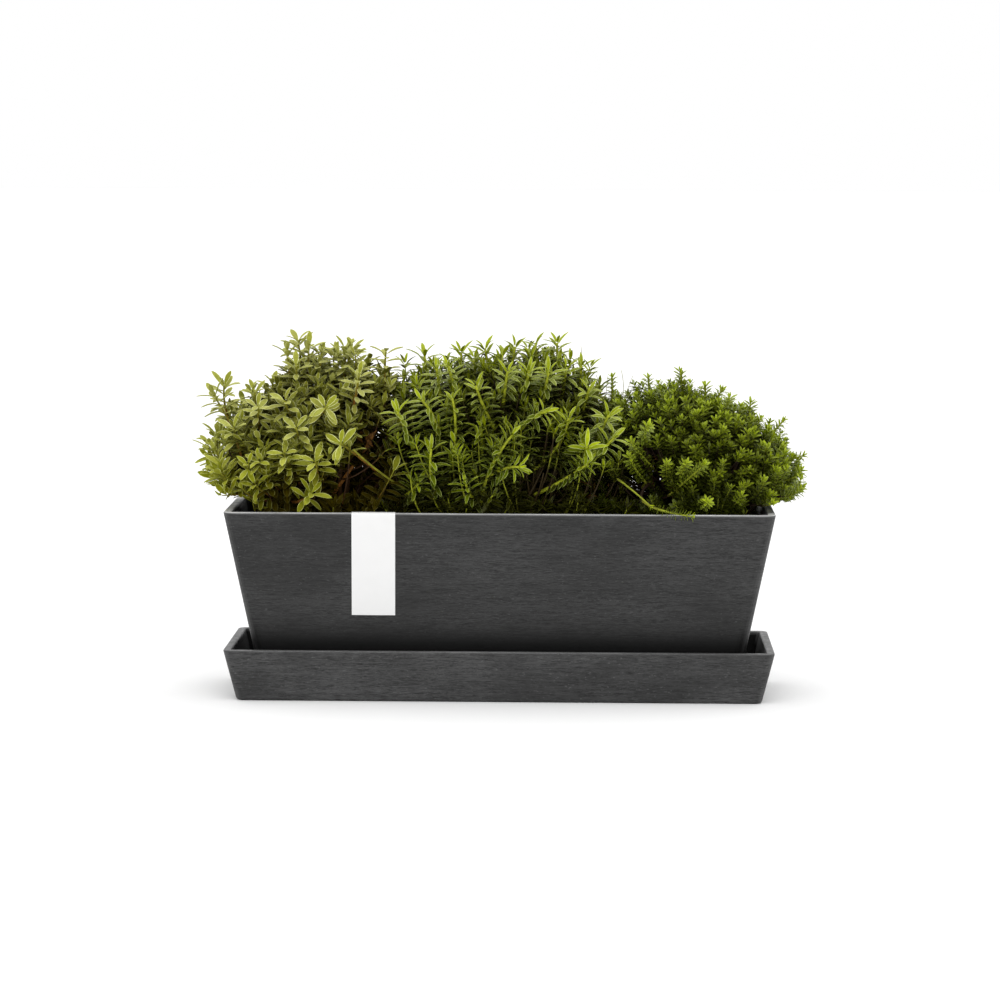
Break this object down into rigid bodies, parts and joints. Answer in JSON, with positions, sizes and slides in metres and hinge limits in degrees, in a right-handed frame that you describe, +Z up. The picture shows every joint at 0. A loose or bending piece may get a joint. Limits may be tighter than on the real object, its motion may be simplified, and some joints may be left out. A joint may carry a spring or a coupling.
{
  "type": "plant pot",
  "caption": "Tapered rectangular planter in a matching saucer, planted with low evergreen shrubs, with a blank folded card label over its front rim.",
  "frame": {"origin": "middle of the saucer's flat underside, where the part stands", "axes": "+X along the trough, +Y from the labelled front wall to the back wall, +Z up"},
  "size_m": [0.6186, 0.1762, 0.3591],
  "materials": {
    "moulded_grey": "matte",
    "label_card": "matte",
    "drainage_layer": "matte",
    "potting_soil": "matte",
    "root_ball": "matte",
    "variegated_foliage": "matte",
    "lance_foliage": "matte",
    "fine_foliage": "matte"
  },
  "bodies": {
    "saucer": {"saucer": "moulded_grey"},
    "planter": {"planter": "moulded_grey", "drainage_layer": "drainage_layer", "potting_soil": "potting_soil", "root_ball_left": "root_ball", "shrub_left": "variegated_foliage", "root_ball_middle": "root_ball", "shrub_middle": "lance_foliage", "root_ball_right": "root_ball", "shrub_right": "fine_foliage"},
    "label": {"label_card": "label_card"}
  },
  "joints": [
    {"name": "planter_lift", "type": "slide", "parent": "saucer", "child": "planter", "axis": [0, 0, 1], "range_m": [0, 0.1]},
    {"name": "label_lift", "type": "slide", "parent": "planter", "child": "label", "axis": [0, -0.1908, 0.9816], "range_m": [0, 0.11]}
  ]
}
